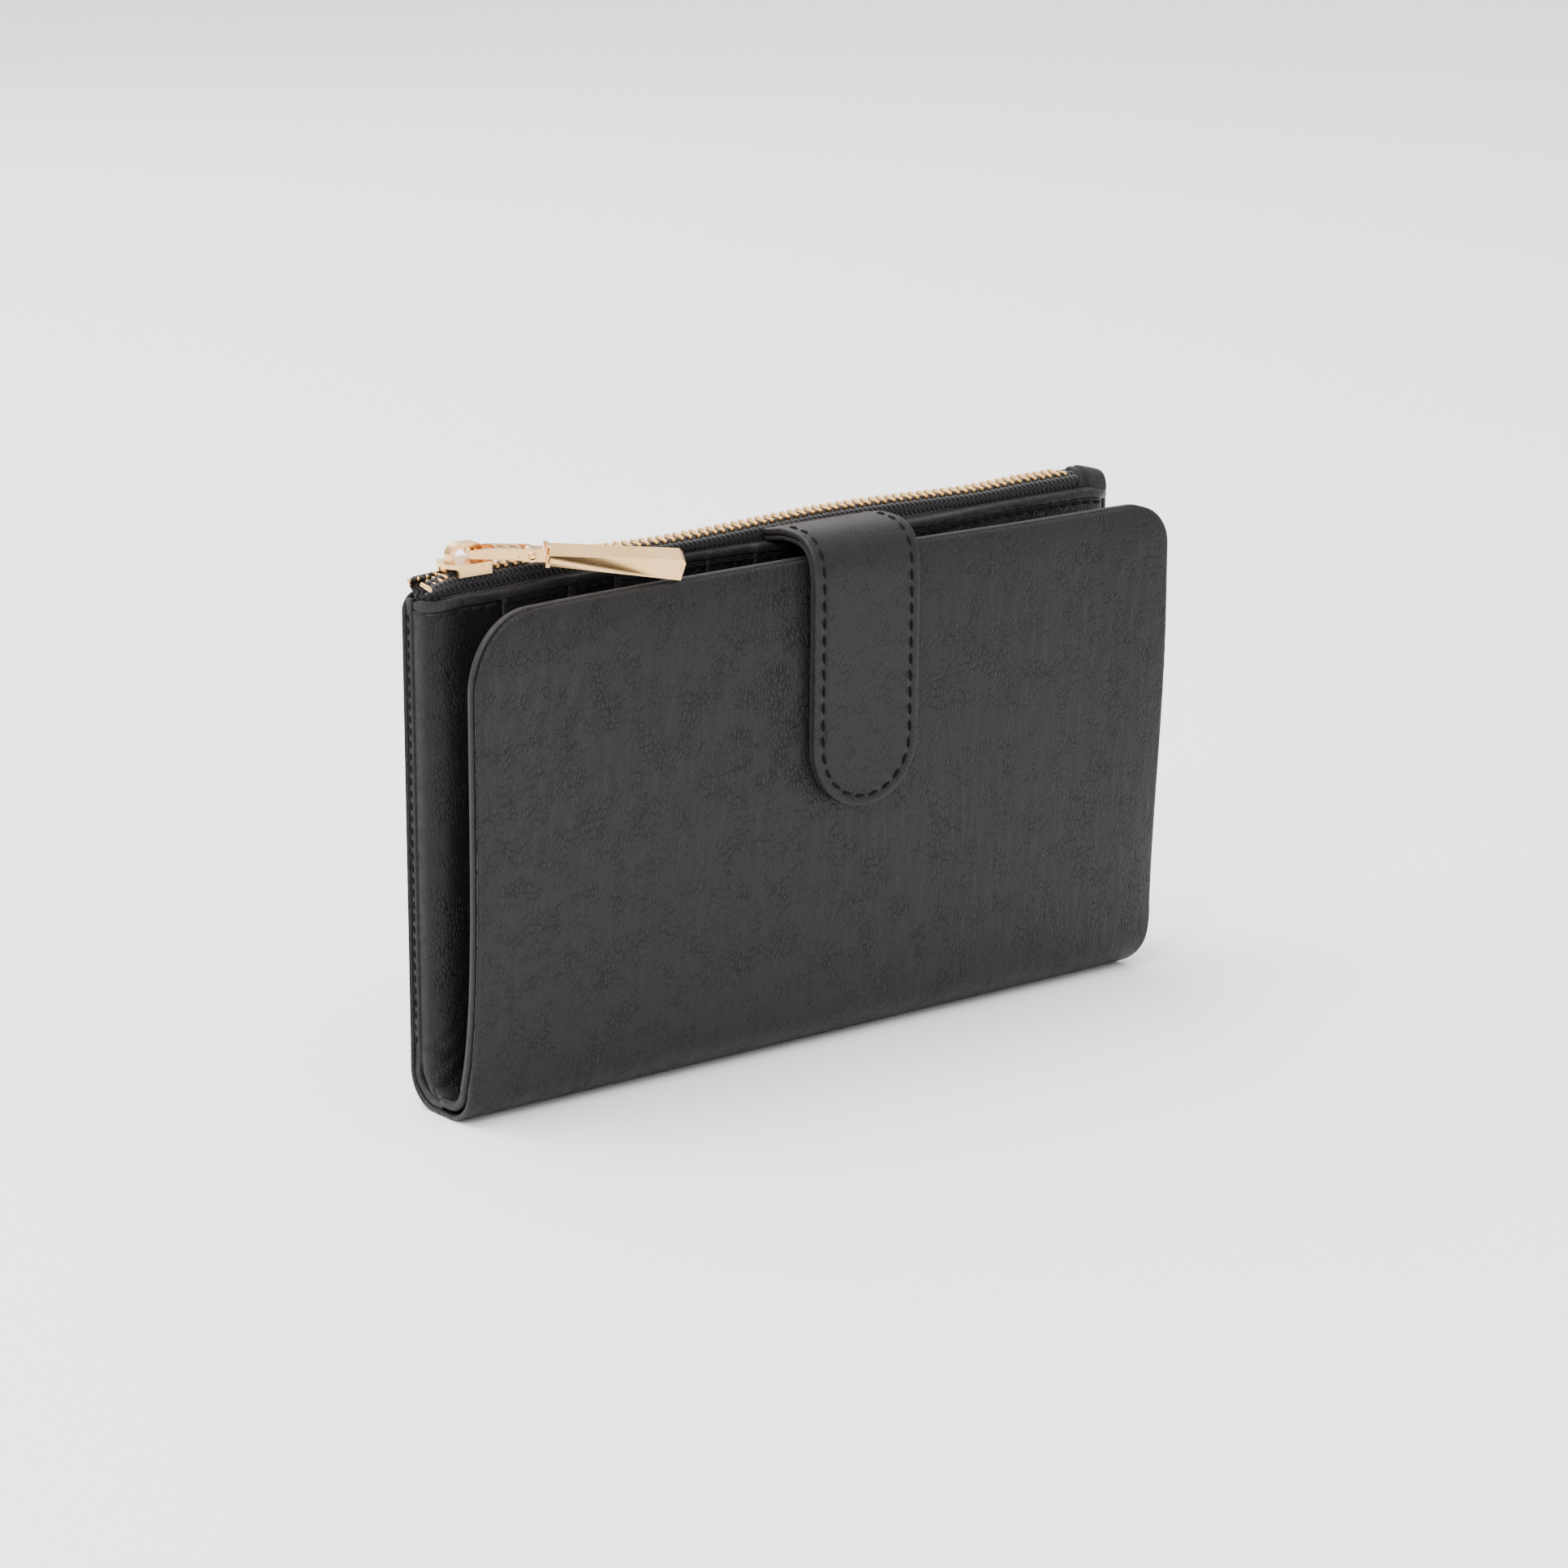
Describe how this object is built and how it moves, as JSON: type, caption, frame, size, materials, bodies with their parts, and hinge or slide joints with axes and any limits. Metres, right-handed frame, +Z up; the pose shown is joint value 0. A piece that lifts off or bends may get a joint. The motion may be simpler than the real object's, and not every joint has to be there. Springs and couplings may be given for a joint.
{
  "type": "bifold clutch wallet",
  "caption": "Standing bifold leather clutch wallet: folding cover, zipped pocket with card slots, metal slider with a bar puller, and a strap tab over the flap.",
  "frame": {"origin": "middle of the flat foot of the fold, on the surface that the closed wallet stands on", "axes": "+X along the fold towards the zip's closed far end, -Y towards the front flap, +Z up"},
  "size_m": [0.185, 0.0254, 0.1173],
  "materials": {
    "outer_leather": "soft matt nappa leather, charcoal, fine grain and shallow creases",
    "lining_leather": "smooth thin charcoal lining leather",
    "pocket_lining": "thin dark woven lining",
    "stiffening_board": "plain bonded fibre board, hidden",
    "zip_tape": "black herringbone woven tape",
    "zip_teeth": "pale gold plated metal, polished",
    "slider_metal": "pale rose-gold plated metal, polished, with small handling marks",
    "magnet": "nickel plated disc, hidden"
  },
  "bodies": {
    "spine": {"cover_spine": "outer_leather", "spine_lining": "lining_leather"},
    "pocket": {"back_cover": "outer_leather", "back_board": "stiffening_board", "pocket_rear_lining": "pocket_lining", "left_gusset": "pocket_lining", "right_gusset": "pocket_lining", "bottom_gusset": "pocket_lining", "pocket_front_lining": "pocket_lining", "pocket_front_wall": "outer_leather", "card_slot_1": "outer_leather", "card_slot_2": "outer_leather", "card_slot_3": "outer_leather", "card_slot_4": "outer_leather", "card_slot_5": "outer_leather", "card_slot_6": "outer_leather", "front_binding": "outer_leather", "front_zip_tape": "zip_tape", "rear_zip_tape": "zip_tape", "front_zip_teeth": "zip_teeth", "rear_zip_teeth": "zip_teeth", "zip_end_tab": "outer_leather", "tab_root": "outer_leather"},
    "flap": {"flap_cover": "outer_leather", "flap_board": "stiffening_board", "flap_lining": "lining_leather", "flap_slip_pocket": "lining_leather", "flap_magnet": "magnet"},
    "tab": {"tab_strap": "outer_leather", "tab_lining": "outer_leather", "tab_magnet": "magnet"},
    "slider": {"zip_slider": "slider_metal"},
    "puller_link": {"puller_link": "slider_metal", "puller_pin": "slider_metal"},
    "puller_bar": {"puller_bar": "slider_metal"}
  },
  "joints": [
    {"name": "pocket_fold", "type": "hinge", "parent": "spine", "child": "pocket", "pos_m": [0, 0.00928, 0.00172], "axis": [-1, 0, 0], "range_deg": [0, 80], "deforming": ["cover_spine", "spine_lining"]},
    {"name": "flap_fold", "type": "hinge", "parent": "spine", "child": "flap", "pos_m": [0, -0.00928, 0.00172], "axis": [1, 0, 0], "range_deg": [0, 80]},
    {"name": "tab_lift", "type": "hinge", "parent": "pocket", "child": "tab", "pos_m": [0.0075, 0.0042, 0.10815], "axis": [-1, 0, 0], "range_deg": [0, 110], "deforming": ["tab_strap", "tab_lining", "tab_magnet"]},
    {"name": "slider_slide", "type": "slide", "parent": "pocket", "child": "slider", "axis": [1, 0, 0], "range_m": [0, 0.1545], "deforming": ["front_zip_tape", "rear_zip_tape", "front_zip_teeth", "rear_zip_teeth"]},
    {"name": "link_swing", "type": "hinge", "parent": "slider", "child": "puller_link", "pos_m": [-0.07845, 0.0065, 0.1149], "axis": [-0.4067, -0.9135, 0], "range_deg": [0, 105]},
    {"name": "bar_swing", "type": "hinge", "parent": "puller_link", "child": "puller_bar", "pos_m": [-0.06724, 0.00151, 0.114], "axis": [-0.4067, -0.9135, 0], "range_deg": [0, 100]}
  ],
  "couplings": [
    {"joint": "flap_fold", "follows": "pocket_fold", "ratio": 1}
  ]
}
